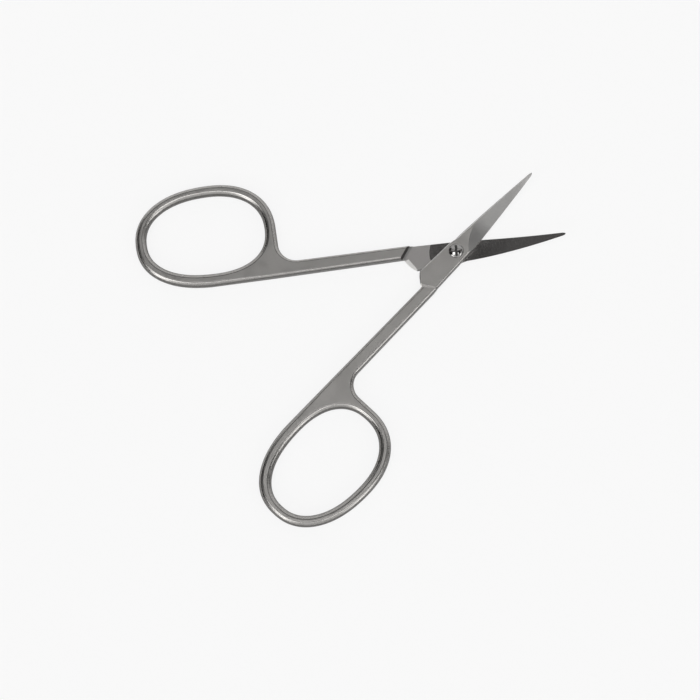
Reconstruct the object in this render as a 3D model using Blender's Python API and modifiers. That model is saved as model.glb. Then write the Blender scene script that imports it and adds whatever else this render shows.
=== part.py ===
"""Curved nail scissors: two one-piece forged halves on a pivot screw.

Each half has a finger ring, a shank, a flat joint block and an upward-curved blade. A half is
modelled closed, in its own frame: the pivot is the Z axis, the faces that ride on each other lie
at z = 0 with the block above them, the blade points along +X and the ring lies on the -Y side.
The upper half stands as modelled, the lower half is turned over about X, and both are then swung
open by half of the opening angle. The origin of the whole part is on the pivot axis, on the
surface that the lower half's joint block rests on.
"""
import math

import bmesh
import bpy
from mathutils import Vector

MM = 0.001

# Pose
OPENING_ANGLE = math.radians(38.1)

# Handle: shank and finger ring
HANDLE_THICKNESS = 2.36 * MM
HANDLE_EDGE_ROUNDING = 0.75 * MM
HANDLE_GAP = 0.10 * MM
SHANK_WIDTH_AT_JOINT = 2.67 * MM
SHANK_WIDTH_AT_RING = 3.02 * MM
RING_CENTRE_REACH = 51.4 * MM
RING_HOLE_LENGTH = 24.9 * MM
RING_HOLE_WIDTH = 17.0 * MM
RING_BAR_WIDTH = 2.38 * MM
RING_INNER_BAR_WIDTH = 2.70 * MM
RING_SQUARENESS = 2.28
RING_EGG_SHAPE = 0.056
RING_BEND = 0.22 * MM
CROTCH_RADIUS = 3.85 * MM
TONGUE_LENGTH = 2.0 * MM

# Joint block
BLOCK_THICKNESS = 1.48 * MM
BLOCK_REACH_INNER = 10.80 * MM
BLOCK_REACH_OUTER = 8.80 * MM
BLOCK_EDGE_CHAMFER = 0.28 * MM
BLOCK_OUTER_WIDTH_BACK = 2.64 * MM
EAR_CORNER_REACH = 8.50 * MM
EAR_CORNER_WIDTH = 2.45 * MM
EAR_BULGE = 0.40
EAR_WALL_LEAN = 0.80 * MM
RISER_SETBACK = 1.05 * MM
RISER_FILLET = 1.10 * MM
RIDING_CLEARANCE = 0.06 * MM

# Blade
BLADE_REACH = 23.15 * MM
BLADE_ROOT = 2.0 * MM
BLADE_CURVE_RADIUS = 88.0 * MM
SPINE_OFFSET_ROOT = 2.10 * MM
SPINE_OFFSET_TIP = 0.15 * MM
SPINE_CURVE = 1.45
EDGE_OFFSET_ROOT = 2.33 * MM
EDGE_OFFSET_TIP = 0.38 * MM
SPINE_THICKNESS_TIP = 0.50 * MM
SPINE_THINNING = 1.5
EDGE_LAND = 0.15 * MM
GRIND_LENGTH = 5.6 * MM
GRIND_SWEEP = 1.9
HOLLOW_DEPTH = 0.05 * MM
TIP_ROUNDING = 0.6 * MM
TIP_BLUNTNESS = 0.14

# Pivot screw
SCREW_DIAMETER = 2.0 * MM
SCREW_CLEARANCE = 0.06 * MM
HEAD_DIAMETER = 2.95 * MM
HEAD_CLEARANCE = 0.12 * MM
HEAD_SEAT_THICKNESS = 1.0 * MM
HEAD_SEAT_CLEARANCE = 0.05 * MM
HEAD_RIM_STAND_OUT = 0.05 * MM
HEAD_DOME_HEIGHT = 0.40 * MM
HEAD_EDGE_RADIUS = 0.10 * MM
RECESS_LENGTH = 2.1 * MM
RECESS_WIDTH = 0.50 * MM
RECESS_DEPTH = 0.45 * MM

# Facets
RING_STEPS = 56
CROTCH_STEPS = 7
EAR_STEPS = 4
GRIND_STEPS = 7
BLADE_STEPS = 9
TIP_STEPS = 4
FACE_STEPS = 4
ROUND_STEPS = 32
SMOOTH_ANGLE = math.radians(32.0)
OVERSHOOT = 1.0 * MM
WELD_DISTANCE = 1e-6

# Values that follow from those above
SHANK_INNER_Y = -HANDLE_GAP / 2
RING_FRONT_REACH = RING_CENTRE_REACH - RING_HOLE_LENGTH / 2 - RING_BAR_WIDTH
CONTACT_HEIGHT = BLOCK_THICKNESS + RIDING_CLEARANCE / 2
BORE_DIAMETER = SCREW_DIAMETER + 2 * SCREW_CLEARANCE
COUNTERBORE_DIAMETER = HEAD_DIAMETER + 2 * HEAD_CLEARANCE


def mix(a, b, t):
    return a + (b - a) * t


def clear_scene():
    for item in list(bpy.data.objects):
        bpy.data.objects.remove(item)


def make_collection(name):
    collection = bpy.data.collections.new(name)
    bpy.context.scene.collection.children.link(collection)
    return collection


def steel(name, colour, roughness):
    material = bpy.data.materials.new(name)
    material.use_nodes = True
    shader = material.node_tree.nodes["Principled BSDF"]
    shader.inputs["Base Color"].default_value = (*colour, 1.0)
    shader.inputs["Metallic"].default_value = 1.0
    shader.inputs["Roughness"].default_value = roughness
    return material


def mesh_object(name, mesh, collection):
    item = bpy.data.objects.new(name, mesh)
    collection.objects.link(item)
    return item


def as_cutter(item, owner):
    """A tool of one half: drawn as wire, never rendered, and moved with the half."""
    item.parent = owner
    item.display_type = "WIRE"
    item.hide_render = True


def add_boolean(item, tool, operation):
    modifier = item.modifiers.new(tool.name, "BOOLEAN")
    modifier.operation = operation
    modifier.solver = "EXACT"
    modifier.object = tool


def take_modifiers(item):
    """Replace the object's mesh by its evaluated one, so that its sharp edges can be marked."""
    bpy.context.view_layer.update()
    graph = bpy.context.evaluated_depsgraph_get()
    mesh = bpy.data.meshes.new_from_object(item.evaluated_get(graph))
    item.modifiers.clear()
    item.data = mesh
    mesh.shade_smooth()
    mesh.set_sharp_from_angle(angle=SMOOTH_ANGLE)


def flat_solid(name, outlines, thickness, rounding, collection):
    """A plate of the given closed outlines (the first is outside, the rest are holes), centred
    on z = 0, with its edges rounded top and bottom."""
    curve = bpy.data.curves.new(name, "CURVE")
    curve.dimensions = "2D"
    curve.fill_mode = "BOTH"
    curve.extrude = thickness / 2 - rounding
    curve.bevel_depth = rounding
    curve.bevel_resolution = 2
    curve.offset = -rounding
    for outline in outlines:
        spline = curve.splines.new("POLY")
        spline.points.add(len(outline) - 1)
        for point, (x, y) in zip(spline.points, outline):
            point.co = (x, y, 0.0, 1.0)
        spline.use_cyclic_u = True
    drawn = bpy.data.objects.new(name + "_outline", curve)
    collection.objects.link(drawn)
    bpy.context.view_layer.update()
    graph = bpy.context.evaluated_depsgraph_get()
    mesh = bpy.data.meshes.new_from_object(drawn.evaluated_get(graph))
    shape = bmesh.new()
    shape.from_mesh(mesh)
    bmesh.ops.remove_doubles(shape, verts=shape.verts, dist=WELD_DISTANCE)
    shape.to_mesh(mesh)
    shape.free()
    solid = mesh_object(name, mesh, collection)
    solid.matrix_world = drawn.matrix_world
    bpy.data.objects.remove(drawn)
    return solid


def ring_point(angle, half_length, half_width, centre_y):
    """A point of a rounded ring outline, fuller at the shank's end and bowed a little."""
    power = 2.0 / RING_SQUARENESS
    along = math.copysign(abs(math.cos(angle)) ** power, math.cos(angle))
    across = math.copysign(abs(math.sin(angle)) ** power, math.sin(angle))
    across *= 1.0 + RING_EGG_SHAPE * along
    bow = RING_BEND * along ** 2
    return (-RING_CENTRE_REACH + half_length * along, centre_y + half_width * across + bow)


def ring_hole_point(angle):
    half_width = RING_HOLE_WIDTH / 2
    centre_y = SHANK_INNER_Y - RING_INNER_BAR_WIDTH - half_width
    return ring_point(angle, RING_HOLE_LENGTH / 2, half_width, centre_y)


def ring_outer_point(angle):
    """The ring's outside, flattened where it would cross the line of the shank's inner side."""
    half_length = RING_HOLE_LENGTH / 2 + RING_BAR_WIDTH
    half_width = (RING_HOLE_WIDTH + RING_INNER_BAR_WIDTH + RING_BAR_WIDTH) / 2
    x, y = ring_point(angle, half_length, half_width, SHANK_INNER_Y - half_width)
    return (x, min(y, SHANK_INNER_Y))


def shank_outer_y(x):
    """The shank's outer side, a straight line that widens from the joint to the ring."""
    share = (-x - BLOCK_REACH_OUTER) / (RING_FRONT_REACH - BLOCK_REACH_OUTER)
    return SHANK_INNER_Y - mix(SHANK_WIDTH_AT_JOINT, SHANK_WIDTH_AT_RING, share)


def crotch_arc():
    """The concave arc from the front of the ring to the shank's outer side."""
    centre_x = -RING_FRONT_REACH + CROTCH_RADIUS
    centre_y = shank_outer_y(centre_x) - CROTCH_RADIUS
    arc = []
    for step in range(CROTCH_STEPS + 1):
        angle = math.pi - math.pi / 2 * step / CROTCH_STEPS
        arc.append((centre_x + CROTCH_RADIUS * math.cos(angle),
                    centre_y + CROTCH_RADIUS * math.sin(angle)))
    return arc


def handle_outlines():
    """Outside and hole of the handle, from the ring to a tongue that ends inside the block.

    The tongue narrows on its outer side, so that its rounded edge stays inside the block too.
    """
    turn = math.tau / RING_STEPS
    top = RING_STEPS // 4
    outside = [ring_outer_point(turn * step) for step in range(top, RING_STEPS + 1)]
    outside += crotch_arc()
    tongue_y = -BLOCK_OUTER_WIDTH_BACK + HANDLE_EDGE_ROUNDING
    outside.append((-BLOCK_REACH_OUTER, shank_outer_y(-BLOCK_REACH_OUTER)))
    outside.append((-BLOCK_REACH_OUTER + TONGUE_LENGTH, tongue_y))
    outside.append((-BLOCK_REACH_INNER + TONGUE_LENGTH, SHANK_INNER_Y))
    hole = [ring_hole_point(-turn * step) for step in range(RING_STEPS)]
    return [outside, hole]


def riser_cutter(name, collection):
    """What is cleared away below the riding face, from the riser and its fillet to the end of
    the handle's tongue.

    The riser runs slantwise, parallel to the back of the joint block. Its foot is a cove.
    """
    depth = HANDLE_THICKNESS / 2 + OVERSHOOT
    length = RISER_SETBACK + TONGUE_LENGTH + OVERSHOOT
    profile = [(length, 0.0), (length, -depth), (0.0, -depth)]
    steps = ROUND_STEPS // 4
    for step in range(steps + 1):
        angle = math.pi - math.pi / 2 * step / steps
        profile.append((RISER_FILLET * (1 + math.cos(angle)), RISER_FILLET * (math.sin(angle) - 1)))
    width = 4 * SHANK_WIDTH_AT_RING
    shape = bmesh.new()
    back = [shape.verts.new((x, 0.0, z)) for x, z in profile]
    face = shape.faces.new(back)
    swept = bmesh.ops.extrude_face_region(shape, geom=[face])
    moved = [item for item in swept["geom"] if isinstance(item, bmesh.types.BMVert)]
    bmesh.ops.translate(shape, verts=moved, vec=(0.0, width, 0.0))
    bmesh.ops.translate(shape, verts=shape.verts, vec=(0.0, -width / 2, 0.0))
    bmesh.ops.recalc_face_normals(shape, faces=shape.faces)
    mesh = bpy.data.meshes.new(name)
    shape.to_mesh(mesh)
    shape.free()
    cutter = mesh_object(name, mesh, collection)
    slant = BLOCK_REACH_INNER - BLOCK_REACH_OUTER
    cutter.rotation_euler.z = math.atan2(slant, SHANK_WIDTH_AT_JOINT)
    cutter.location.x = -(BLOCK_REACH_INNER + BLOCK_REACH_OUTER) / 2 - RISER_SETBACK
    cutter.location.y = SHANK_INNER_Y - SHANK_WIDTH_AT_JOINT / 2
    return cutter


def blade_share(x):
    """How far along the blade a point lies, from 0 at its root to 1 at its tip."""
    return min(max((x - BLADE_ROOT) / (BLADE_REACH - BLADE_ROOT), 0.0), 1.0)


def ear_y(x):
    """The bulging slope of the joint block's ear, from the shank's inner side to its corner."""
    share = (x + BLOCK_REACH_INNER) / (BLOCK_REACH_INNER - EAR_CORNER_REACH)
    return mix(SHANK_INNER_Y, EAR_CORNER_WIDTH, share + EAR_BULGE * share * (1 - share))


def spine_y(x):
    if x < -EAR_CORNER_REACH:
        return ear_y(x)
    if x < BLADE_ROOT:
        share = (x + EAR_CORNER_REACH) / (BLADE_ROOT + EAR_CORNER_REACH)
        return mix(EAR_CORNER_WIDTH, SPINE_OFFSET_ROOT, share)
    return mix(SPINE_OFFSET_ROOT, SPINE_OFFSET_TIP, blade_share(x) ** SPINE_CURVE)


def edge_y(x):
    if x < BLADE_ROOT:
        share = (x + BLOCK_REACH_OUTER) / (BLADE_ROOT + BLOCK_REACH_OUTER)
        return -mix(BLOCK_OUTER_WIDTH_BACK, EDGE_OFFSET_ROOT, share)
    return -mix(EDGE_OFFSET_ROOT, EDGE_OFFSET_TIP, blade_share(x))


def tip_narrowing(x):
    """1 along the blade, falling to a small point through the round of the tip."""
    into_tip = (x - (BLADE_REACH - TIP_ROUNDING)) / TIP_ROUNDING
    if into_tip <= 0:
        return 1.0
    return math.sqrt(max(1 - into_tip ** 2, TIP_BLUNTNESS ** 2))


def riding_height(x, y, curl):
    """Height of the surface that both inner faces share: flat round the pivot, then rising as
    a surface of revolution about it, so that the halves pass each other at every angle."""
    rise = max(math.hypot(x, y) - BLADE_ROOT, 0.0) if x > 0 else 0.0
    return curl * rise ** 2 / (2 * BLADE_CURVE_RADIUS)


def grind_share(x):
    """0 where the grinding of the outer face begins at the root, 1 where it is complete."""
    return min(max((x - BLADE_ROOT) / GRIND_LENGTH, 0.0), 1.0)


def block_section(x_edge, x_spine, curl):
    """The section of block or blade from its cutting side at x_edge to its spine at x_spine.

    The chamfer of the block's cutting side widens into the ground face of the blade.
    """
    narrowing = tip_narrowing(x_edge)
    middle = (edge_y(x_edge) + spine_y(x_spine)) / 2
    edge = Vector((x_edge, mix(middle, edge_y(x_edge), narrowing)))
    spine = Vector((x_spine, mix(middle, spine_y(x_spine), narrowing)))
    across = spine - edge
    width = max(across.length, WELD_DISTANCE)
    thickness = mix(BLOCK_THICKNESS, SPINE_THICKNESS_TIP, blade_share(x_edge) ** SPINE_THINNING)
    chamfer = BLOCK_EDGE_CHAMFER * thickness / BLOCK_THICKNESS * narrowing
    ground = grind_share(x_edge)
    wall = mix(thickness - chamfer, EDGE_LAND, 1 - (1 - ground) ** GRIND_SWEEP)
    ground_to = mix(chamfer / width, 1 - chamfer / width, 1 - (1 - ground) ** GRIND_SWEEP)
    ear = min(max((-x_spine - BLADE_ROOT) / (EAR_CORNER_REACH - BLADE_ROOT), 0.0), 1.0)
    lean = EAR_WALL_LEAN * ear ** 2 / width
    hollow = HOLLOW_DEPTH * ground * narrowing

    def place(share, height, dip=0.0):
        point = edge + across * share
        return (point.x, point.y, riding_height(point.x, point.y, curl) + height + dip)

    section = [place(0.0, wall), place(ground_to, thickness)]
    section.append(place(1 - chamfer / width, thickness))
    section.append(place(1.0, thickness - chamfer))
    for step in range(FACE_STEPS, -1, -1):
        share = step / FACE_STEPS
        section.append(place(share * (1 - lean), 0.0, hollow * 4 * share * (1 - share)))
    return section


def block_stations():
    """Places of the sections as (x on the cutting side, x on the spine side), back to tip."""
    stations = []
    ear = BLOCK_REACH_INNER - EAR_CORNER_REACH
    for step in range(EAR_STEPS + 1):
        shift = ear * step / EAR_STEPS
        stations.append((-BLOCK_REACH_OUTER + shift, -BLOCK_REACH_INNER + shift))
    middle = -EAR_CORNER_REACH / 2
    stations.append((middle, middle))
    stations.append((0.0, 0.0))
    for step in range(GRIND_STEPS + 1):
        x = BLADE_ROOT + GRIND_LENGTH * step / GRIND_STEPS
        stations.append((x, x))
    start = BLADE_ROOT + GRIND_LENGTH
    round_start = BLADE_REACH - TIP_ROUNDING
    for step in range(1, BLADE_STEPS + 1):
        x = mix(start, round_start, step / BLADE_STEPS)
        stations.append((x, x))
    for step in range(1, TIP_STEPS + 1):
        x = round_start + TIP_ROUNDING * math.sin(math.pi / 2 * step / TIP_STEPS)
        stations.append((x, x))
    return stations


def block_and_blade(name, curl, collection):
    """Loft of the joint block and the blade; curl is 1 where the blade bends away from the
    riding face and -1 where it bends towards it."""
    shape = bmesh.new()
    rows = []
    for x_edge, x_spine in block_stations():
        rows.append([shape.verts.new(point) for point in block_section(x_edge, x_spine, curl)])
    count = len(rows[0])
    for row, following in zip(rows, rows[1:]):
        for i in range(count):
            j = (i + 1) % count
            shape.faces.new((row[i], row[j], following[j], following[i]))
    shape.faces.new(rows[0])
    shape.faces.new(reversed(rows[-1]))
    bmesh.ops.triangulate(shape, faces=shape.faces)
    bmesh.ops.recalc_face_normals(shape, faces=shape.faces)
    mesh = bpy.data.meshes.new(name)
    shape.to_mesh(mesh)
    shape.free()
    return mesh_object(name, mesh, collection)


def turned(name, profile, collection):
    """A solid of revolution about Z. The profile runs from the top of the axis, down the outer
    side and back to the axis."""
    mesh = bpy.data.meshes.new(name)
    edges = [(i, i + 1) for i in range(len(profile) - 1)]
    mesh.from_pydata([(r, 0.0, z) for r, z in profile], edges, [])
    item = mesh_object(name, mesh, collection)
    screw = item.modifiers.new("turn", "SCREW")
    screw.steps = ROUND_STEPS
    screw.render_steps = ROUND_STEPS
    screw.use_merge_vertices = True
    screw.merge_threshold = WELD_DISTANCE
    return item


def half(name, curl, counterbored, parts, cutters, material):
    """One half of the scissors in its own frame, with its bore for the pivot screw."""
    item = flat_solid(name, handle_outlines(), HANDLE_THICKNESS, HANDLE_EDGE_ROUNDING, parts)
    item.data.materials.append(material)
    riser = riser_cutter(name + "_riser_cut", cutters)
    blade = block_and_blade(name + "_block_and_blade", curl, cutters)
    top = BLOCK_THICKNESS + OVERSHOOT
    radius = BORE_DIAMETER / 2
    profile = [(0.0, top), (radius, top), (radius, -top), (0.0, -top)]
    if counterbored:
        wide = COUNTERBORE_DIAMETER / 2
        seat = HEAD_SEAT_THICKNESS
        profile[1:2] = [(wide, top), (wide, seat), (radius, seat)]
    bore = turned(name + "_bore", profile, cutters)
    for tool in (riser, blade, bore):
        as_cutter(tool, item)
    add_boolean(item, blade, "UNION")
    add_boolean(item, riser, "DIFFERENCE")
    add_boolean(item, bore, "DIFFERENCE")
    take_modifiers(item)
    return item


def pivot_screw(parts, cutters, material):
    """Domed head in the upper half's counterbore, shank through both halves, its end flush with
    the lower half's outer face."""
    seat = CONTACT_HEIGHT + RIDING_CLEARANCE / 2 + HEAD_SEAT_THICKNESS
    face = CONTACT_HEIGHT + RIDING_CLEARANCE / 2 + BLOCK_THICKNESS
    under = seat + HEAD_SEAT_CLEARANCE
    rim = face + HEAD_RIM_STAND_OUT
    radius = HEAD_DIAMETER / 2
    flat = radius - HEAD_EDGE_RADIUS
    sphere = (flat ** 2 + HEAD_DOME_HEIGHT ** 2) / (2 * HEAD_DOME_HEIGHT)
    dome_steps = ROUND_STEPS // 4
    profile = []
    for step in range(dome_steps + 1):
        r = flat * step / dome_steps
        z = rim + HEAD_DOME_HEIGHT - sphere + math.sqrt(sphere ** 2 - r ** 2)
        profile.append((r, z))
    profile.append((radius, rim - HEAD_EDGE_RADIUS))
    profile.append((radius, under))
    profile.append((SCREW_DIAMETER / 2, under))
    profile.append((SCREW_DIAMETER / 2, 0.0))
    profile.append((0.0, 0.0))
    screw = turned("pivot_screw", profile, parts)
    screw.data.materials.append(material)
    for turn in range(2):
        bpy.ops.mesh.primitive_cube_add(size=1.0)
        arm = bpy.context.active_object
        arm.name = f"recess_arm_{turn + 1}"
        for collection in arm.users_collection:
            collection.objects.unlink(arm)
        cutters.objects.link(arm)
        arm.scale = (RECESS_LENGTH, RECESS_WIDTH, 2 * RECESS_DEPTH)
        arm.rotation_euler.z = turn * math.pi / 2
        arm.location.z = rim + HEAD_DOME_HEIGHT
        as_cutter(arm, screw)
        add_boolean(screw, arm, "DIFFERENCE")
    take_modifiers(screw)
    return screw


def main():
    clear_scene()
    parts = make_collection("nail_scissors")
    cutters = make_collection("cutters")
    satin = steel("satin_steel", (0.52, 0.51, 0.50), 0.34)
    polished = steel("polished_steel", (0.58, 0.57, 0.56), 0.18)

    upper = half("upper_half", 1, True, parts, cutters, satin)
    upper.location.z = CONTACT_HEIGHT + RIDING_CLEARANCE / 2
    upper.rotation_euler.z = OPENING_ANGLE / 2

    lower = half("lower_half", -1, False, parts, cutters, satin)
    lower.location.z = CONTACT_HEIGHT - RIDING_CLEARANCE / 2
    lower.rotation_euler = (math.pi, 0.0, -OPENING_ANGLE / 2)

    pivot_screw(parts, cutters, polished)
    bpy.context.view_layer.update()


main()
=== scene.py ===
"""Looks of the curved nail scissors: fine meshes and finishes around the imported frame.

Each half is modelled closed, in its own frame: the pivot is the Z axis, the face that rides on the
other half lies at z = 0 with the joint block above it, the blade points along +X and the finger
ring lies on the -Y side. The half's object then stands it in its place and swings it open.
"""
import math

import bmesh
import bpy
from mathutils import Euler, Matrix, Vector


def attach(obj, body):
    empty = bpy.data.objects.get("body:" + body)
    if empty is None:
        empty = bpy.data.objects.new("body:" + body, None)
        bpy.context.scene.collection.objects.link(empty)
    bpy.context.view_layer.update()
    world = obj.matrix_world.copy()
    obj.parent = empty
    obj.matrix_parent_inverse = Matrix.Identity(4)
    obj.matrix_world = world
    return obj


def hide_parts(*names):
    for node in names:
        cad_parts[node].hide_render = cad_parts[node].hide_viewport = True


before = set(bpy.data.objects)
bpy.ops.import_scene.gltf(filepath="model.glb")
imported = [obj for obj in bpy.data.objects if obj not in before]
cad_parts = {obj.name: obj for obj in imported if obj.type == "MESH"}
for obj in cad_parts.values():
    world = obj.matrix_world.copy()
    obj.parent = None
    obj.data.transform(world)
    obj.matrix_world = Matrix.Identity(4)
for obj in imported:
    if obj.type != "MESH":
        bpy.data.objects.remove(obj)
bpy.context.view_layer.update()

MM = 0.001

# Pose of the halves
OPENING_ANGLE = math.radians(38.1)
BLOCK_THICKNESS = 1.48 * MM
RIDING_CLEARANCE = 0.06 * MM
CONTACT_HEIGHT = BLOCK_THICKNESS + RIDING_CLEARANCE / 2

# Handle
HANDLE_THICKNESS = 2.36 * MM
HANDLE_GAP = 0.10 * MM
SHANK_WIDTH_AT_JOINT = 2.67 * MM
SHANK_WIDTH_AT_RING = 3.02 * MM
RING_CENTRE_REACH = 51.4 * MM
RING_HOLE_LENGTH = 24.9 * MM
RING_HOLE_WIDTH = 17.0 * MM
RING_BAR_WIDTH = 2.33 * MM
RING_INNER_BAR_WIDTH = 2.70 * MM
RING_SQUARENESS = 2.28
RING_EGG_SHAPE = 0.056
RING_BEND = 0.22 * MM
WEB_ANGLE = math.radians(45.0)
CROTCH_RADIUS = 3.85 * MM
HOLE_ROUNDING = 1.10 * MM
WEB_HOLE_ROUNDING = 1.05 * MM
RING_ROUNDING = 1.02 * MM
ROUNDING_CHANGE_START = 0.125       # share of the hole's length behind the ring's centre
EDGE_DEPTH = 1.05       # depth of an edge rounding, for a width of 1
SHANK_ROUNDING = 0.65 * MM
SHANK_INNER_ROUNDING = 0.55 * MM
LEAST_WALL = 0.18 * MM
TONGUE_LENGTH = 2.0 * MM       # the tongue carries the shank into the joint block
TONGUE_INSET = 0.75 * MM
TONGUE_ROUNDING = 0.20 * MM

# Joint block
BLOCK_REACH_INNER = 10.80 * MM
BLOCK_REACH_OUTER = 8.80 * MM
BLOCK_OUTER_WIDTH_BACK = 2.64 * MM
BLOCK_ROUNDING = 0.50 * MM
BLOCK_SPINE_ROUNDING = 0.20 * MM
BLOCK_STEP_SLOPE = 0.40 * MM
EAR_CORNER_REACH = 8.50 * MM
EAR_CORNER_WIDTH = 2.45 * MM
EAR_BULGE = 0.40
EAR_WALL_LEAN = 0.75 * MM
RISER_SETBACK = 1.05 * MM
RISER_EDGE = 0.04 * MM
RISER_WALL_WIDTH = 0.42 * MM
RISER_FOOT_WIDTH = 0.45 * MM
RISER_FOOT_HEIGHT = 0.17 * MM

# Blade
BLADE_REACH = 23.12 * MM
BLADE_ROOT = 2.0 * MM
BLADE_CURVE_RADIUS = 88.0 * MM
SPINE_OFFSET_ROOT = 2.10 * MM
SPINE_OFFSET_TIP = 0.15 * MM
SPINE_CURVE = 1.45
EDGE_OFFSET_ROOT = 2.33 * MM
EDGE_OFFSET_TIP = 0.38 * MM
SPINE_THICKNESS_TIP = 0.50 * MM
SPINE_THINNING = 1.5
EDGE_LAND = 0.12 * MM
GRIND_FULL_REACH = 9.0 * MM
GRIND_WHEEL_RADIUS = 22.0 * MM
GRIND_BITE = 0.03 * MM
GRIND_OVERRUN = 0.25        # share of the blade's width that the grinder passes each side by
GRIND_HEADROOM = 4.0 * MM
SPINE_UNDERCUT = 0.28
SPINE_UNDERCUT_RUN = 3.0 * MM
HOLLOW_RADIUS = 40.0 * MM
HOLLOW_LENGTH = 5.6 * MM
TIP_ROUNDING = 0.7 * MM
TIP_BLUNTNESS = 0.08

# Pivot screw
SCREW_DIAMETER = 2.0 * MM
BORE_DIAMETER = 2.12 * MM
HEAD_DIAMETER = 2.93 * MM
HEAD_CLEARANCE = 0.05 * MM
HEAD_SEAT_THICKNESS = 1.0 * MM
HEAD_SEAT_CLEARANCE = 0.05 * MM
HEAD_RIM_STAND_OUT = 0.05 * MM
HEAD_DOME_HEIGHT = 0.39 * MM
HEAD_EDGE_RADIUS = 0.14 * MM
BORE_EDGE = 0.10 * MM
SEAT_EDGE = 0.05 * MM
RECESS_LENGTH = 3.0 * MM
RECESS_WIDTH = 0.62 * MM
RECESS_DEPTH = 0.55 * MM
RECESS_FLARE = 0.16 * MM
RECESS_TURN = math.radians(67.0)

# Studio
FLOOR_RADIUS = 3.0
WALL_HEIGHT = 0.45
FLOOR_GAP = 0.05 * MM
FLOOR_COLOUR = (0.9, 0.9, 0.9)
FLOOR_WHITENESS = 0.85
FLOOR_WHITENESS_REFLECTED = 0.2
STUDIO_LEVEL = 0.585
# Azimuth, angle from the zenith, inner and outer radius of each panel in degrees, and its level
STUDIO_PANELS = (
    (313, 72, 22, 26, 2.86),
    (285, 3, 9, 13, 2.86),
    (-34, 86, 24, 39, 0.00),
    (-29, 31, 17, 22, 0.00),
    (151, 75, 42, 46, 0.00),
    (199, 58, 10, 14, 2.86),
    (189, 26, 11, 15, 2.86),
    (14, 20, 3, 7, 2.86),
    (293, 22, 7, 11, 2.86),
    (87, 17, 14, 19, 0.065),
    (104, 26, 10, 15, 0.12),
    (124, 30, 6, 12, 0.12),
)

# Finishes. Their patterns are measured in the piece's own millimetres. A pair of "up" values is
# where a change starts and ends, by the upright part of the surface's normal.
# The fourth finish is a brighter copy of the satin one, a painted highlight
SATIN, GROUND, RIDING, BEVEL_PAINTED_HIGHLIGHT = 0, 1, 2, 3       # places in a half's list of finishes
OWN_PLACE = "own_place"     # each vertex's place in its piece's own frame, in millimetres
FLAT_UP = (0.955, 0.995)
# The span of the normal's upright part over which upright sides take their painted light
SIDE_UP = (0.50, 0.80)
# A thin line where a flat turns into its rounding, darkened as a painted dark reflection
BORDER_START_UP = (0.955, 0.970)
BORDER_END_UP = (0.988, 0.997)
# Rounded edges paler than the flats: a little edge wear, the rest a painted highlight
EDGE_WEAR_AND_PAINTED_HIGHLIGHT = 1.25
# Upright sides darkened as painted shade, for the floor's shadow that they reflect
SIDE_PAINTED_SHADE = 0.45
GROUND_SIDE_PAINTED_SHADE = 0.5
# Strength of that painted dark reflection line
BORDER_PAINTED_DARK_REFLECTION = 0.35
TONE_VARIATION = 0.035
SATIN_ROUGHNESS = 0.38
ROUGHNESS_VARIATION = 0.12
SATIN_GRAIN = (0.5, 9.0, 9.0)
GRAIN_DEPTH = 0.0006 * MM
GROUND_GRAIN_DEPTH = GRAIN_DEPTH / 3
CLOUD_SCALE = 0.45
SPECK_SCALE = 2.6
SPECK_SHARE = 0.8       # the specks' part in the tone, beside the clouds' part
LINE_SPREAD = 0.25      # a noise is cut off this far from its middle
CLOUD_SPREAD = 0.2
POLISH_RADIUS = 5.55
POLISH_BLUR = 0.06
POLISH_FORWARD_BLUR = 0.1

# Camera, at the photograph's view
CAMERA_PLACE = Vector((-82.2, -110.4, 443.2)) * MM
CAMERA_TURN = Euler((math.radians(14.57), 0.0, math.radians(-27.4)))
CAMERA_LENS = 113.3
CAMERA_SENSOR = 36.0
CAMERA_NEAR = 10 * MM
CAMERA_FAR = 10.0

# Mesh density
RING_STEPS = 240
CROTCH_STEPS = 28
SHANK_STEPS = 48
ROUNDING_STEPS = 9
FACE_STEPS = 8
EAR_STEPS = 24
BLOCK_STEPS = 12
BLADE_STEPS = 80
TIP_STEPS = 10
ROUND_STEPS = 96
DOME_STEPS = 24
RECESS_END_STEPS = 10
SMOOTH_ANGLE = math.radians(28.0)
OVERSHOOT = 1.0 * MM        # how far a cutting shape reaches past the steel
WELD_DISTANCE = 1e-7

# Values that follow from those above
SHANK_INNER_Y = -HANDLE_GAP / 2
RING_FRONT_REACH = RING_CENTRE_REACH - RING_HOLE_LENGTH / 2 - RING_BAR_WIDTH
RISER_CUT_WIDTH = 4 * SHANK_WIDTH_AT_RING       # passes both sides of the shank
UPPER_FACE_HEIGHT = CONTACT_HEIGHT + RIDING_CLEARANCE / 2
LOWER_FACE_HEIGHT = CONTACT_HEIGHT - RIDING_CLEARANCE / 2
HEAD_RIM_HEIGHT = UPPER_FACE_HEIGHT + BLOCK_THICKNESS + HEAD_RIM_STAND_OUT
HEAD_TOP_HEIGHT = HEAD_RIM_HEIGHT + HEAD_DOME_HEIGHT

# Weighted normals: flats count as strong faces, so that roundings start tangent to them
FACE_STRENGTH = "__mod_weightednormals_faceweight"
STRONG = 16384
FLAT_NORMAL = 0.99999


def mix(a, b, t):
    return a + (b - a) * t


def clamp(t):
    return min(max(t, 0.0), 1.0)


def smooth(t):
    t = clamp(t)
    return t * t * (3 - 2 * t)


def add_object(name, build, materials):
    """An object made by build(shape) on an empty bmesh, with its faces pointing out."""
    shape = bmesh.new()
    build(shape)
    bmesh.ops.recalc_face_normals(shape, faces=shape.faces)
    mesh = bpy.data.meshes.new(name)
    shape.to_mesh(mesh)
    shape.free()
    for material in materials:
        mesh.materials.append(material)
    item = bpy.data.objects.new(name, mesh)
    bpy.context.scene.collection.objects.link(item)
    return item


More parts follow.
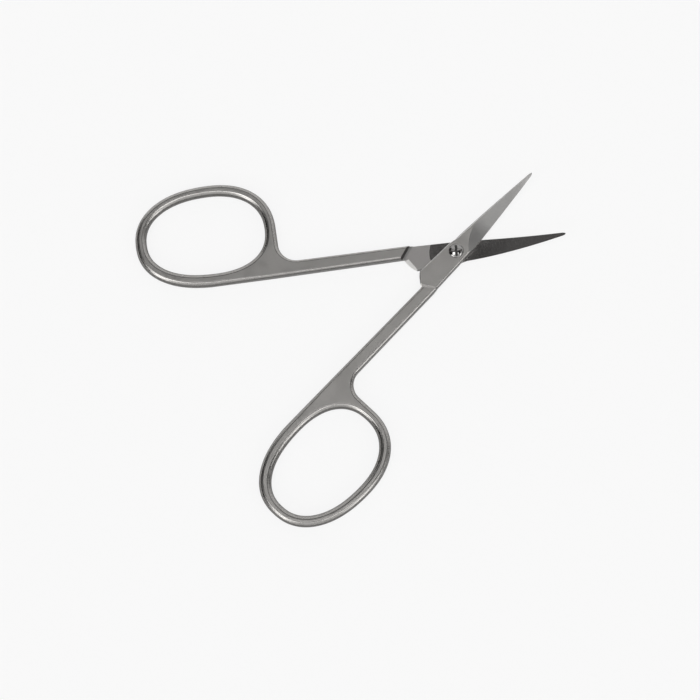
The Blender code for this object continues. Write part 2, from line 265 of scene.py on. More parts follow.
def circle(shape, radius, z):
    """A ring of vertices round the Z axis."""
    ring = []
    for step in range(ROUND_STEPS):
        angle = math.tau * step / ROUND_STEPS
        ring.append(shape.verts.new((radius * math.cos(angle), radius * math.sin(angle), z)))
    return ring


def bridge(shape, rows, slots=None):
    """Quads between neighbouring closed rows of vertices; slots gives each column's material."""
    count = len(rows[0])
    for row, following in zip(rows, rows[1:]):
        for i in range(count):
            j = (i + 1) % count
            face = shape.faces.new((row[i], row[j], following[j], following[i]))
            if slots:
                face.material_index = slots[i]


# Handle
def ring_point(angle, half_length, half_width, centre_y):
    """A point of a rounded ring outline, fuller at the shank's end and bowed a little."""
    power = 2.0 / RING_SQUARENESS
    along = math.copysign(abs(math.cos(angle)) ** power, math.cos(angle))
    across = math.copysign(abs(math.sin(angle)) ** power, math.sin(angle))
    across *= 1.0 + RING_EGG_SHAPE * along
    bow = RING_BEND * along ** 2
    return (-RING_CENTRE_REACH + half_length * along, centre_y + half_width * across + bow)


def ring_hole_point(angle):
    half_width = RING_HOLE_WIDTH / 2
    centre_y = SHANK_INNER_Y - RING_INNER_BAR_WIDTH - half_width
    x, y = ring_point(angle, RING_HOLE_LENGTH / 2, half_width, centre_y)
    web = smooth(math.cos(angle - WEB_ANGLE))
    return (x, y, mix(HOLE_ROUNDING, WEB_HOLE_ROUNDING, web))


def inner_rounding(x):
    """The rounding of the inner side, full on the ring and slighter along the shank."""
    start = -RING_CENTRE_REACH - RING_HOLE_LENGTH * ROUNDING_CHANGE_START
    end = -RING_FRONT_REACH
    near = mix(RING_ROUNDING, SHANK_ROUNDING, smooth((x - start) / (end - start)))
    return mix(near, SHANK_INNER_ROUNDING, clamp((x - end) / (-BLOCK_REACH_INNER - end)))


def ring_outer_point(angle):
    """The ring's outside, flattened where it would cross the line of the shank's inner side."""
    half_length = RING_HOLE_LENGTH / 2 + RING_BAR_WIDTH
    half_width = (RING_HOLE_WIDTH + RING_INNER_BAR_WIDTH + RING_BAR_WIDTH) / 2
    x, y = ring_point(angle, half_length, half_width, SHANK_INNER_Y - half_width)
    rounding = RING_ROUNDING
    if y > SHANK_INNER_Y - RING_ROUNDING:
        rounding = inner_rounding(x)
    return (x, min(y, SHANK_INNER_Y), rounding)


def shank_outer_y(x):
    """The shank's outer side, a straight line that widens from the joint to the ring."""
    share = (-x - BLOCK_REACH_OUTER) / (RING_FRONT_REACH - BLOCK_REACH_OUTER)
    return SHANK_INNER_Y - mix(SHANK_WIDTH_AT_JOINT, SHANK_WIDTH_AT_RING, share)


def crotch_arc():
    """The concave arc from the front of the ring to the shank's outer side."""
    centre_x = -RING_FRONT_REACH + CROTCH_RADIUS
    centre_y = shank_outer_y(centre_x) - CROTCH_RADIUS
    arc = []
    for step in range(CROTCH_STEPS + 1):
        share = step / CROTCH_STEPS
        angle = math.pi - math.pi / 2 * share
        arc.append((centre_x + CROTCH_RADIUS * math.cos(angle),
                    centre_y + CROTCH_RADIUS * math.sin(angle),
                    mix(RING_ROUNDING, SHANK_ROUNDING, smooth(share))))
    return arc


def handle_outlines():
    """Outside and hole of the handle as (x, y, edge rounding), with a tongue into the block."""
    turn = math.tau / RING_STEPS
    top = RING_STEPS // 4
    outside = [ring_outer_point(turn * step) for step in range(top, RING_STEPS + 1)]
    arc = crotch_arc()
    gap = arc[0][1] - outside[-1][1]
    if gap > WELD_DISTANCE:
        outside.append((outside[-1][0], outside[-1][1] + gap / 2, RING_ROUNDING))
    outside += arc
    for step in range(1, SHANK_STEPS + 1):
        x = mix(arc[-1][0], -BLOCK_REACH_OUTER, step / SHANK_STEPS)
        outside.append((x, shank_outer_y(x), SHANK_ROUNDING))
    tongue_y = -BLOCK_OUTER_WIDTH_BACK + TONGUE_INSET
    outside.append((-BLOCK_REACH_OUTER + TONGUE_LENGTH, tongue_y, TONGUE_ROUNDING))
    outside.append((-BLOCK_REACH_INNER + TONGUE_LENGTH, SHANK_INNER_Y, TONGUE_ROUNDING))
    back = outside[0][0]
    for step in range(SHANK_STEPS):
        x = mix(-BLOCK_REACH_INNER, back, step / SHANK_STEPS)
        outside.append((x, SHANK_INNER_Y, inner_rounding(x)))
    hole = [ring_hole_point(-turn * step) for step in range(RING_STEPS)]
    return [outside, hole]


def edge_profile(rounding):
    """(inset, height) down the elliptic rounding from the flat to the wall, top half only."""
    drop = min(rounding * EDGE_DEPTH, HANDLE_THICKNESS / 2 - LEAST_WALL / 2)
    rows = []
    for step in range(ROUNDING_STEPS + 1):
        angle = math.pi / 2 * step / ROUNDING_STEPS
        rows.append((rounding * (1 - math.sin(angle)),
                     HANDLE_THICKNESS / 2 - drop * (1 - math.cos(angle))))
    return rows


def handle_shape(shape):
    """The plate of shank and ring, its edges rounded by amounts that change along them."""
    flats = ([], [])
    for outline in handle_outlines():
        count = len(outline)
        columns = []
        for i, (x, y, rounding) in enumerate(outline):
            before = Vector(outline[i - 1][:2])
            after = Vector(outline[(i + 1) % count][:2])
            inward = (after - before).normalized().orthogonal()
            above = [(x + inward.x * inset, y + inward.y * inset, z)
                     for inset, z in edge_profile(rounding)]
            below = [(px, py, -pz) for px, py, pz in reversed(above)]
            columns.append([shape.verts.new(point) for point in above + below])
        rows = [list(row) for row in zip(*columns)]
        bridge(shape, rows)
        for edges, row in zip(flats, (rows[0], rows[-1])):
            for a, b in zip(row, row[1:] + row[:1]):
                edges.append(shape.edges.get((a, b)))
    for edges in flats:
        bmesh.ops.triangle_fill(shape, use_beauty=True, edges=edges)


def riser_shape(shape):
    """What is cleared away below the riding face. Its end leaves the riser: a steep wall with a
    shallow foot, slantwise, parallel to the back of the joint block."""
    level = HANDLE_THICKNESS / 2
    depth = level + OVERSHOOT
    length = RISER_SETBACK + TONGUE_LENGTH + OVERSHOOT
    profile = [(length, 0.0), (length, -depth), (-RISER_EDGE, -depth), (-RISER_EDGE, -level),
               (0.0, -level + RISER_EDGE), (RISER_WALL_WIDTH, -RISER_FOOT_HEIGHT),
               (RISER_WALL_WIDTH + RISER_FOOT_WIDTH, 0.0)]
    near = [shape.verts.new((x, -RISER_CUT_WIDTH / 2, z)) for x, z in profile]
    far = [shape.verts.new((x, RISER_CUT_WIDTH / 2, z)) for x, z in profile]
    bridge(shape, [near, far], [GROUND] * (len(profile) - 1) + [RIDING])
    shape.faces.new(near)
    shape.faces.new(far)


def place_riser(cutter):
    """Put the riser's cutter where the shank meets the joint block, along the block's back."""
    slant = BLOCK_REACH_INNER - BLOCK_REACH_OUTER
    cutter.rotation_euler.z = math.atan2(slant, SHANK_WIDTH_AT_JOINT)
    cutter.location.x = -(BLOCK_REACH_INNER + BLOCK_REACH_OUTER) / 2 - RISER_SETBACK
    cutter.location.y = SHANK_INNER_Y - SHANK_WIDTH_AT_JOINT / 2


# Joint block and blade
def blade_share(x):
    """How far along the blade a point lies, from 0 at its root to 1 at its tip."""
    return clamp((x - BLADE_ROOT) / (BLADE_REACH - BLADE_ROOT))


def ear_y(x):
    """The bulging slope of the joint block's ear, from the shank's inner side to its corner."""
    share = (x + BLOCK_REACH_INNER) / (BLOCK_REACH_INNER - EAR_CORNER_REACH)
    return mix(SHANK_INNER_Y, EAR_CORNER_WIDTH, share + EAR_BULGE * share * (1 - share))


def spine_y(x):
    if x < -EAR_CORNER_REACH:
        return ear_y(x)
    if x < BLADE_ROOT:
        share = (x + EAR_CORNER_REACH) / (BLADE_ROOT + EAR_CORNER_REACH)
        return mix(EAR_CORNER_WIDTH, SPINE_OFFSET_ROOT, share)
    return mix(SPINE_OFFSET_ROOT, SPINE_OFFSET_TIP, blade_share(x) ** SPINE_CURVE)


def edge_y(x):
    if x < BLADE_ROOT:
        share = (x + BLOCK_REACH_OUTER) / (BLADE_ROOT + BLOCK_REACH_OUTER)
        return -mix(BLOCK_OUTER_WIDTH_BACK, EDGE_OFFSET_ROOT, share)
    return -mix(EDGE_OFFSET_ROOT, EDGE_OFFSET_TIP, blade_share(x))


def tip_narrowing(x):
    """1 along the blade, falling to a small point through the round of the tip."""
    into_tip = (x - (BLADE_REACH - TIP_ROUNDING)) / TIP_ROUNDING
    if into_tip <= 0:
        return 1.0
    return math.sqrt(max(1 - into_tip ** 2, TIP_BLUNTNESS ** 2))


def riding_height(x, y, curl):
    """Height of the surface that both inner faces share: flat round the pivot, then rising as
    a surface of revolution about it, so that the halves pass each other at every angle."""
    rise = max(math.hypot(x, y) - BLADE_ROOT, 0.0) if x > 0 else 0.0
    return curl * rise ** 2 / (2 * BLADE_CURVE_RADIUS)


def blade_thickness(x):
    return mix(BLOCK_THICKNESS, SPINE_THICKNESS_TIP, blade_share(x) ** SPINE_THINNING)


def undercut(x):
    """How far the spine leans in between the riding face and the outer face."""
    return SPINE_UNDERCUT * blade_thickness(x) * smooth(x / SPINE_UNDERCUT_RUN)


def block_section(x_edge, x_spine, curl):
    """The section of the unground block or blade, cutting side at x_edge and spine at x_spine."""
    narrowing = tip_narrowing(x_edge)
    middle = (edge_y(x_edge) + spine_y(x_spine)) / 2
    edge = Vector((x_edge, mix(middle, edge_y(x_edge), narrowing)))
    spine = Vector((x_spine, mix(middle, spine_y(x_spine), narrowing)))
    across = spine - edge
    width = across.length
    thickness = blade_thickness(x_edge)
    step = clamp((x_edge + BLOCK_REACH_OUTER) / BLOCK_STEP_SLOPE)
    thickness -= (BLOCK_THICKNESS - HANDLE_THICKNESS / 2 + RIDING_CLEARANCE) * (1 - step)
    slimness = thickness / BLOCK_THICKNESS * narrowing
    rounding = BLOCK_ROUNDING * slimness
    spine_rounding = BLOCK_SPINE_ROUNDING * slimness
    outer = 1 - undercut(x_spine) * narrowing / width
    ear = clamp((x_spine + BLOCK_REACH_INNER) / (BLOCK_REACH_INNER - EAR_CORNER_REACH))
    lean = EAR_WALL_LEAN * (1 - ear ** 2) / width
    hollow = width ** 2 / (8 * HOLLOW_RADIUS) * clamp((x_edge - BLADE_ROOT) / HOLLOW_LENGTH)

    def place(share, height):
        point = edge + across * share
        return (point.x, point.y, riding_height(point.x, point.y, curl) + height)

    section = []
    for step in range(ROUNDING_STEPS + 1):
        angle = math.pi / 2 * step / ROUNDING_STEPS
        section.append(place(rounding / width * (1 - math.cos(angle)),
                             thickness - rounding * (1 - math.sin(angle))))
    for step in range(ROUNDING_STEPS + 1):
        angle = math.pi / 2 * step / ROUNDING_STEPS
        section.append(place(outer - spine_rounding / width * (1 - math.sin(angle)),
                             thickness - spine_rounding * (1 - math.cos(angle))))
    for step in range(FACE_STEPS, -1, -1):
        share = step / FACE_STEPS
        section.append(place(share * (1 - lean), hollow * 4 * share * (1 - share)))
    return section


def block_stations():
    """Places of the sections as (x on the cutting side, x on the spine side), back to tip."""
    stations = []
    ear = BLOCK_REACH_INNER - EAR_CORNER_REACH
    for step in range(EAR_STEPS + 1):
        shift = ear * step / EAR_STEPS
        stations.append((-BLOCK_REACH_OUTER + shift, -BLOCK_REACH_INNER + shift))
    x_edge, x_spine = stations[-1]
    for step in range(1, BLOCK_STEPS + 1):
        share = step / BLOCK_STEPS
        stations.append((mix(x_edge, BLADE_ROOT, share), mix(x_spine, BLADE_ROOT, share)))
    round_start = BLADE_REACH - TIP_ROUNDING
    for step in range(1, BLADE_STEPS + 1):
        x = mix(BLADE_ROOT, round_start, step / BLADE_STEPS)
        stations.append((x, x))
    for step in range(1, TIP_STEPS + 1):
        x = round_start + TIP_ROUNDING * math.sin(math.pi / 2 * step / TIP_STEPS)
        stations.append((x, x))
    return stations


def block_shape(curl):
    """Joint block and blade before grinding. The rounding of the spine side, and along the ear
    that side's wall too, take a brighter copy of the satin finish: a painted highlight."""
    def build(shape):
        rows = []
        for x_edge, x_spine in block_stations():
            rows.append([shape.verts.new(point) for point in block_section(x_edge, x_spine, curl)])
        # The spine-side rounding takes the painted-highlight copy of the satin finish
        top = [SATIN] * (ROUNDING_STEPS + 1) + [BEVEL_PAINTED_HIGHLIGHT] * ROUNDING_STEPS
        bottom = [RIDING] * FACE_STEPS + [SATIN]
        # Along the ear the spine side's wall takes that painted highlight too
        bridge(shape, rows[:EAR_STEPS + 1], top + [BEVEL_PAINTED_HIGHLIGHT] + bottom)
        bridge(shape, rows[EAR_STEPS:], top + [SATIN] + bottom)
        shape.faces.new(rows[0])
        shape.faces.new(rows[-1])
    return build


def ground_height(x, share):
    """Height of the ground face over the riding face: it falls from spine to cutting edge, and
    towards the joint it follows the grinding wheel up and out of the steel."""
    thickness = blade_thickness(x)
    spine_rounding = BLOCK_SPINE_ROUNDING * thickness / BLOCK_THICKNESS
    reach = 1 - (undercut(x) + spine_rounding) / (spine_y(x) - edge_y(x))
    run = max(GRIND_FULL_REACH - x, 0.0)
    lift = GRIND_WHEEL_RADIUS - math.sqrt(GRIND_WHEEL_RADIUS ** 2 - run ** 2)
    return mix(EDGE_LAND, thickness - GRIND_BITE, share / reach) + lift


def grinder_shape(curl):
    """What the grinding takes off the blade: all that lies above the ground face."""
    def build(shape):
        low, high = [], []
        end = BLADE_REACH + OVERSHOOT
        for step in range(BLADE_STEPS + 1):
            x = mix(0.0, end, step / BLADE_STEPS)
            low_row, high_row = [], []
            for part in range(FACE_STEPS + 1):
                share = mix(-GRIND_OVERRUN, 1 + GRIND_OVERRUN, part / FACE_STEPS)
                y = mix(edge_y(x), spine_y(x), share)
                base = riding_height(x, y, curl)
                low_row.append(shape.verts.new((x, y, base + ground_height(x, share))))
                high_row.append(shape.verts.new((x, y, base + BLOCK_THICKNESS + GRIND_HEADROOM)))
            low.append(low_row)
            high.append(high_row)
        rows = [below + above[::-1] for below, above in zip(low, high)]
        bridge(shape, rows, [GROUND] * len(rows[0]))
        shape.faces.new(rows[0])
        shape.faces.new(rows[-1])
    return build


# Turned pieces
def turned_shape(profile):
    """A solid of revolution about Z from (radius, height) points; both ends lie on the axis."""
    def build(shape):
        rings = [circle(shape, radius, z) for radius, z in profile[1:-1]]
        bridge(shape, rings)
        for (_, z), ring in ((profile[0], rings[0]), (profile[-1], rings[-1])):
            middle = shape.verts.new((0.0, 0.0, z))
            for a, b in zip(ring, ring[1:] + ring[:1]):
                shape.faces.new((a, b, middle))
    return build


def bore_profile(counterbored):
    """Outline of what the bore takes out, from above the block to below it."""
    top = BLOCK_THICKNESS + OVERSHOOT
    radius = BORE_DIAMETER / 2
    if not counterbored:
        return [(0.0, top), (radius + BORE_EDGE, top), (radius + BORE_EDGE, BLOCK_THICKNESS),
                (radius, BLOCK_THICKNESS - BORE_EDGE), (radius, -top), (0.0, -top)]
    wide = HEAD_DIAMETER / 2 + HEAD_CLEARANCE
    return [(0.0, top), (wide + SEAT_EDGE, top), (wide + SEAT_EDGE, BLOCK_THICKNESS),
            (wide, BLOCK_THICKNESS - SEAT_EDGE), (wide, HEAD_SEAT_THICKNESS),
            (radius, HEAD_SEAT_THICKNESS), (radius, -top), (0.0, -top)]


def screw_profile():
    """Outline of the screw from the top of its dome to its flat end."""
    under = UPPER_FACE_HEIGHT + HEAD_SEAT_THICKNESS + HEAD_SEAT_CLEARANCE
    radius = HEAD_DIAMETER / 2
    flat = radius - HEAD_EDGE_RADIUS
    sphere = (flat ** 2 + HEAD_DOME_HEIGHT ** 2) / (2 * HEAD_DOME_HEIGHT)
    centre_z = HEAD_TOP_HEIGHT - sphere
    profile = [(0.0, HEAD_TOP_HEIGHT)]
    for step in range(1, DOME_STEPS + 1):
        r = flat * step / DOME_STEPS
        profile.append((r, centre_z + math.sqrt(sphere ** 2 - r ** 2)))
    slope = math.asin(flat / sphere)
    for step in range(1, ROUNDING_STEPS + 1):
        angle = mix(slope, math.pi / 2, step / ROUNDING_STEPS)
        r = flat + HEAD_EDGE_RADIUS * (math.sin(angle) - math.sin(slope)) / (1 - math.sin(slope))
        z = HEAD_RIM_HEIGHT - HEAD_EDGE_RADIUS * (math.cos(slope) - math.cos(angle))
        profile.append((r, z))
    shaft = SCREW_DIAMETER / 2
    chamfer = BORE_EDGE / 2
    return profile + [(radius, under), (shaft, under), (shaft, chamfer), (shaft - chamfer, 0.0),
                      (0.0, 0.0)]


def recess_shape(shape):
    """A cross recess: two arms with round ends that narrow towards the bottom."""
    outline = []
    for arm in range(4):
        direction = RECESS_TURN + math.pi / 2 * arm
        reach = RECESS_LENGTH / 2 - RECESS_WIDTH / 2
        for step in range(RECESS_END_STEPS + 1):
            angle = direction - math.pi / 2 + math.pi * step / RECESS_END_STEPS
            outline.append((reach * math.cos(direction) + RECESS_WIDTH / 2 * math.cos(angle),
                            reach * math.sin(direction) + RECESS_WIDTH / 2 * math.sin(angle)))
        corner = direction + math.pi / 4
        reach = RECESS_WIDTH / math.sqrt(2)
        outline.append((reach * math.cos(corner), reach * math.sin(corner)))
    low = 1 - RECESS_FLARE / RECESS_WIDTH
    high = 1 + RECESS_FLARE / RECESS_WIDTH
    rings = []
    for scale, rise in ((low, -RECESS_DEPTH), (high, RECESS_DEPTH)):
        z = HEAD_TOP_HEIGHT + rise
        rings.append([shape.verts.new((x * scale, y * scale, z)) for x, y in outline])
    bridge(shape, rings)
    for ring in rings:
        shape.faces.new(ring)


# Assembly
def sharpen_borders(mesh):
    """Crease the edges where two finishes meet."""
    shape = bmesh.new()
    shape.from_mesh(mesh)
    for edge in shape.edges:
        if len({face.material_index for face in edge.link_faces}) > 1:
            edge.smooth = False
    shape.to_mesh(mesh)
    shape.free()


def combine(item, steps):
    """Apply Boolean steps to item in order, and remove their tools."""
    for tool, operation in steps:
        modifier = item.modifiers.new(tool.name, "BOOLEAN")
        modifier.operation = operation
        modifier.solver = "EXACT"
        modifier.object = tool
    bpy.context.view_layer.update()
    graph = bpy.context.evaluated_depsgraph_get()
    mesh = bpy.data.meshes.new_from_object(item.evaluated_get(graph))
    item.modifiers.clear()
    item.data = mesh
    mesh.name = item.name
    for tool, _ in steps:
        bpy.data.objects.remove(tool)


def finish_surface(item):
    """Note each vertex's own place, and make the normals smooth on roundings, flat on flats."""
    mesh = item.data
    own_place = mesh.attributes.new(OWN_PLACE, "FLOAT_VECTOR", "POINT")
    for vertex, value in zip(mesh.vertices, own_place.data):
        value.vector = vertex.co / MM
    mesh.shade_smooth()
    mesh.set_sharp_from_angle(angle=SMOOTH_ANGLE)
    sharpen_borders(mesh)
    strength = mesh.attributes.new(FACE_STRENGTH, "INT", "FACE")
    for face, value in zip(mesh.polygons, strength.data):
        value.value = STRONG if abs(face.normal.z) > FLAT_NORMAL else 0
    weighted = item.modifiers.new("normals", "WEIGHTED_NORMAL")
    weighted.mode = "CORNER_ANGLE"
    weighted.keep_sharp = True
    weighted.use_face_influence = True


def make_half(name, curl, counterbored, materials):
    """One half, closed. curl is 1 where the blade rises from its riding face, and -1 where it
    falls away below it."""
    item = add_object(name, handle_shape, materials)
    blade = add_object(name + "_blade", block_shape(curl), materials)
    grinder = add_object(name + "_grinder", grinder_shape(curl), materials)
    riser = add_object(name + "_riser", riser_shape, materials)
    place_riser(riser)
    bore = add_object(name + "_bore", turned_shape(bore_profile(counterbored)), materials)
    combine(item, [(blade, "UNION"), (grinder, "DIFFERENCE"), (riser, "DIFFERENCE"),
                   (bore, "DIFFERENCE")])
    finish_surface(item)
    return item


def stand(item, height, turn):
    """Put a half's mesh in its open place at the given height of its riding face."""
    turned = Euler(turn).to_matrix().to_4x4()
    item.data.transform(Matrix.Translation((0.0, 0.0, height)) @ turned)


def make_screw(material):
    item = add_object("screw", turned_shape(screw_profile()), [material])
    recess = add_object("screw_recess", recess_shape, [material])
    combine(item, [(recess, "DIFFERENCE")])
    finish_surface(item)
    return item


# Materials
class Nodes:
    """Short calls for building a node tree; an input takes a number, a vector or an output."""

    def __init__(self, owner):
        owner.use_nodes = True
        self.tree = owner.node_tree

    def add(self, kind, inputs=(), **settings):
        node = self.tree.nodes.new(kind)
        for key, value in settings.items():
            setattr(node, key, value)
        for key, value in dict(inputs).items():
            self.put(node.inputs[key], value)
        return node

    def put(self, socket, value):
        if isinstance(value, bpy.types.NodeSocket):
            self.tree.links.new(value, socket)
        else:
            socket.default_value = value

    def math(self, operation, *values):
        return self.add("ShaderNodeMath", enumerate(values), operation=operation).outputs[0]

    def vector(self, operation, *values, output="Vector"):
        node = self.add("ShaderNodeVectorMath", enumerate(values), operation=operation)
        return node.outputs[output]

    def ramp(self, value, low, high, to_low=0.0, to_high=1.0):
        """value carried from low..high to to_low..to_high, with soft ends."""
        inputs = {"Value": value, "From Min": low, "From Max": high,
                  "To Min": to_low, "To Max": to_high}
        return self.add("ShaderNodeMapRange", inputs, interpolation_type="SMOOTHSTEP").outputs[0]

    def swing(self, noise, spread, reach=0.5):
        """A noise from 0 to 1 carried to -reach..reach, cut off at spread from its middle."""
        return self.ramp(noise, 0.5 - spread, 0.5 + spread, -reach, reach)

    def part(self, vector, axis):
        return self.add("ShaderNodeSeparateXYZ", {"Vector": vector}).outputs[axis]

    def mix(self, factor, a, b):
        return self.add("ShaderNodeMix", {0: factor, 2: a, 3: b}, data_type="FLOAT").outputs[0]

    def noise(self, place, scale, detail):
        inputs = {"Vector": place, "Scale": scale, "Detail": detail}
        return self.add("ShaderNodeTexNoise", inputs).outputs["Fac"]


def steel(name, colour, edge_roughness, flat_roughness, grain, grain_depth=GRAIN_DEPTH,
          edge_wear_and_painted_highlight=1.0, side_painted_light=1.0, border_painted_reflection=None, polished_zone=False, turned=False):
    """Steel with a fine grain of abrasive lines, whose edges differ from its flats.

    grain gives the lines per millimetre along the piece's own axes. The edge factor pales the
    rounded edges beside the flats: a little edge wear, the rest a painted highlight. The side
    factor scales the upright sides as painted light, painted shade below 1 and a painted
    highlight above it. The border factor paints a thin dark reflection on the line where a flat
    turns into its rounded edge. polished_zone keeps the two roughnesses round the pivot and on
    the blade and makes the rest satin. turned winds the lines round the axis.
    """
    material = bpy.data.materials.new(name)
    n = Nodes(material)
    shader = n.tree.nodes["Principled BSDF"]
    place = n.add("ShaderNodeAttribute", attribute_name=OWN_PLACE).outputs["Vector"]
    across = n.vector("MULTIPLY", place, (1.0, 1.0, 0.0))
    radius = n.vector("LENGTH", across, output="Value")
    normal = n.add("ShaderNodeTexCoord").outputs["Normal"]
    up = n.math("ABSOLUTE", n.part(normal, "Z"))
    flat = n.ramp(up, *FLAT_UP)
    along = n.add("ShaderNodeCombineXYZ", {"X": radius}).outputs[0] if turned else place
    lines = n.noise(n.vector("MULTIPLY", along, grain), scale=1.0, detail=3.0)
    clouds = n.noise(place, CLOUD_SCALE, detail=3.0)
    specks = n.noise(place, SPECK_SCALE, detail=2.0)

    roughness = n.mix(flat, edge_roughness, flat_roughness)
    if polished_zone:
        forward = n.ramp(n.part(place, "X"), -POLISH_FORWARD_BLUR, POLISH_FORWARD_BLUR)
        near = n.ramp(radius, POLISH_RADIUS - POLISH_BLUR, POLISH_RADIUS + POLISH_BLUR, 1.0, 0.0)
        polish = n.math("MAXIMUM", forward, near)
        roughness = n.mix(polish, SATIN_ROUGHNESS, roughness)
    uneven = n.math("ADD", n.swing(lines, LINE_SPREAD), n.swing(clouds, CLOUD_SPREAD))
    uneven = n.math("MULTIPLY_ADD", uneven, ROUGHNESS_VARIATION, 1.0)
    n.put(shader.inputs["Roughness"], n.math("MULTIPLY", roughness, uneven))

    fine = n.swing(specks, CLOUD_SPREAD, SPECK_SHARE / 2)
    tone_and_painted_light = n.math("ADD", n.swing(clouds, CLOUD_SPREAD), fine)
    tone_and_painted_light = n.math("MULTIPLY_ADD", tone_and_painted_light, TONE_VARIATION, 1.0)
    # Paler rounded edges: a little edge wear, the rest a painted highlight
    tone_and_painted_light = n.math("MULTIPLY", tone_and_painted_light, n.mix(flat, edge_wear_and_painted_highlight, 1.0))
    # Painted light on the upright sides: shade where the side factor is below 1, highlight above
    tone_and_painted_light = n.math("MULTIPLY", tone_and_painted_light, n.ramp(up, *SIDE_UP, side_painted_light / edge_wear_and_painted_highlight, 1.0))
    # Painted dark reflection: a thin darker line where a flat turns into its rounding
    if border_painted_reflection:
        start, end = n.ramp(up, *BORDER_START_UP), n.ramp(up, *BORDER_END_UP, 1.0, 0.0)
        border = n.math("MULTIPLY", start, end)
        tone_and_painted_light = n.math("MULTIPLY", tone_and_painted_light, n.mix(border, 1.0, border_painted_reflection))
    # The steel's colour, scaled by its random variation and by the painted light
    colour_with_painted_light = n.add("ShaderNodeVectorMath", {0: colour, "Scale": tone_and_painted_light}, operation="SCALE")
    n.put(shader.inputs["Base Color"], colour_with_painted_light.outputs["Vector"])
    n.put(shader.inputs["Metallic"], 1.0)
    bump = n.add("ShaderNodeBump", {"Height": lines, "Distance": grain_depth})
    n.put(shader.inputs["Normal"], bump.outputs[0])
    return material


# Satin steel: its rounded edges take a little wear and a painted highlight, its upright sides
# painted shade, and the line where a flat meets its rounding a thin painted dark reflection.
satin = steel("satin_finish", colour=(0.435, 0.423, 0.408), grain=SATIN_GRAIN,
              edge_roughness=0.28, flat_roughness=SATIN_ROUGHNESS,
              edge_wear_and_painted_highlight=EDGE_WEAR_AND_PAINTED_HIGHLIGHT, side_painted_light=SIDE_PAINTED_SHADE, border_painted_reflection=BORDER_PAINTED_DARK_REFLECTION)
# Ground steel, its upright sides darkened as painted shade
ground = steel("ground_finish", colour=(0.392, 0.386, 0.380), grain=(13.0, 0.8, 6.0),
               edge_roughness=0.38, flat_roughness=0.38,
               grain_depth=GROUND_GRAIN_DEPTH, side_painted_light=GROUND_SIDE_PAINTED_SHADE)
riding = steel("riding_finish", colour=(0.446, 0.431, 0.423), grain=(8.0, 0.6, 1.0),
               edge_roughness=0.17, flat_roughness=0.17, polished_zone=True)
# A brighter copy of the satin finish: painted highlight on the spine-side rounding and ear wall
bevel_highlight = steel("bevel_painted_highlight", colour=(0.70, 0.69, 0.675), grain=SATIN_GRAIN,
              edge_roughness=0.22, flat_roughness=0.22,
              edge_wear_and_painted_highlight=EDGE_WEAR_AND_PAINTED_HIGHLIGHT, side_painted_light=EDGE_WEAR_AND_PAINTED_HIGHLIGHT)
polished = steel("polished_finish", colour=(0.485, 0.477, 0.468), grain=(14.0, 0.0, 0.0),
                 edge_roughness=0.14, flat_roughness=0.14, turned=True)
finishes = [satin, ground, riding, bevel_highlight]

upper = make_half("upper_half_fine", curl=1, counterbored=True, materials=finishes)
stand(upper, UPPER_FACE_HEIGHT, (0.0, 0.0, OPENING_ANGLE / 2))
lower = make_half("lower_half_fine", curl=-1, counterbored=False, materials=finishes)
stand(lower, LOWER_FACE_HEIGHT, (math.pi, 0.0, -OPENING_ANGLE / 2))
screw = make_screw(polished)
bpy.context.view_layer.update()

for piece, node, body, slot in ((upper, "upper_half", "upper", "satin_steel"),
                                (lower, "lower_half", "lower", "satin_steel"),
                                (screw, "pivot_screw", "lower", "polished_steel")):
    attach(piece, body)
    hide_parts(node)


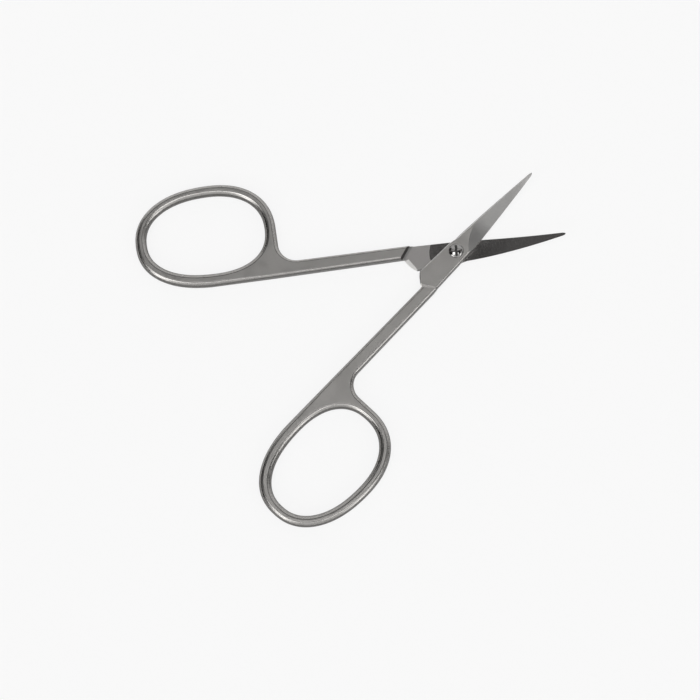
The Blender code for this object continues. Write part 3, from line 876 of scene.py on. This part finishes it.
# Floor, light and camera
def pale_surface(name, colour, whiteness, whiteness_reflected):
    """A matt pale surface, whiter to the camera and in reflections."""
    material = bpy.data.materials.new(name)
    n = Nodes(material)
    path = n.add("ShaderNodeLightPath").outputs
    seen = n.math("MAXIMUM", path["Is Glossy Ray"], path["Is Transmission Ray"])
    white = n.math("MULTIPLY", seen, whiteness_reflected)
    white = n.math("MULTIPLY_ADD", path["Is Camera Ray"], whiteness, white)
    glow = n.add("ShaderNodeEmission")
    matt = n.add("ShaderNodeBsdfDiffuse", {"Color": (*colour, 1.0)})
    both = n.add("ShaderNodeMixShader", {0: white, 1: matt.outputs[0], 2: glow.outputs[0]})
    n.put(n.tree.nodes["Material Output"].inputs["Surface"], both.outputs[0])
    return material


def floor_shape(shape):
    """A wide disc whose rim turns up into a low wall, so that its horizon is pale all round."""
    rings = [circle(shape, FLOOR_RADIUS, height) for height in (0.0, WALL_HEIGHT)]
    bridge(shape, rings)
    shape.faces.new(rings[0])


pale = pale_surface("floor", FLOOR_COLOUR, FLOOR_WHITENESS, FLOOR_WHITENESS_REFLECTED)
floor = add_object("floor", floor_shape, [pale])
floor.location.z = -FLOOR_GAP


def studio_light():
    """Soft light from large panels over the table, with dark gaps between them."""
    world = bpy.data.worlds.new("studio")
    bpy.context.scene.world = world
    n = Nodes(world)
    direction = n.add("ShaderNodeTexCoord").outputs["Generated"]
    level = STUDIO_LEVEL
    for azimuth, from_zenith, inner, outer, panel in STUDIO_PANELS:
        turn, tilt = math.radians(azimuth), math.radians(from_zenith)
        towards = (math.sin(tilt) * math.cos(turn), math.sin(tilt) * math.sin(turn),
                   math.cos(tilt))
        dot = n.vector("DOT_PRODUCT", direction, towards, output="Value")
        angle = n.math("ARCCOSINE", dot)
        inside = n.ramp(angle, math.radians(inner), math.radians(outer), 1.0, 0.0)
        level = n.mix(inside, level, panel)
    n.put(n.tree.nodes["Background"].inputs["Color"], level)


studio_light()

lens = bpy.data.cameras.new("camera")
lens.lens = CAMERA_LENS
lens.sensor_width = CAMERA_SENSOR
lens.clip_start = CAMERA_NEAR
lens.clip_end = CAMERA_FAR
camera = bpy.data.objects.new("camera", lens)
bpy.context.scene.collection.objects.link(camera)
camera.location = CAMERA_PLACE
camera.rotation_euler = CAMERA_TURN
bpy.context.scene.camera = camera
bpy.context.scene.view_settings.view_transform = "Standard"
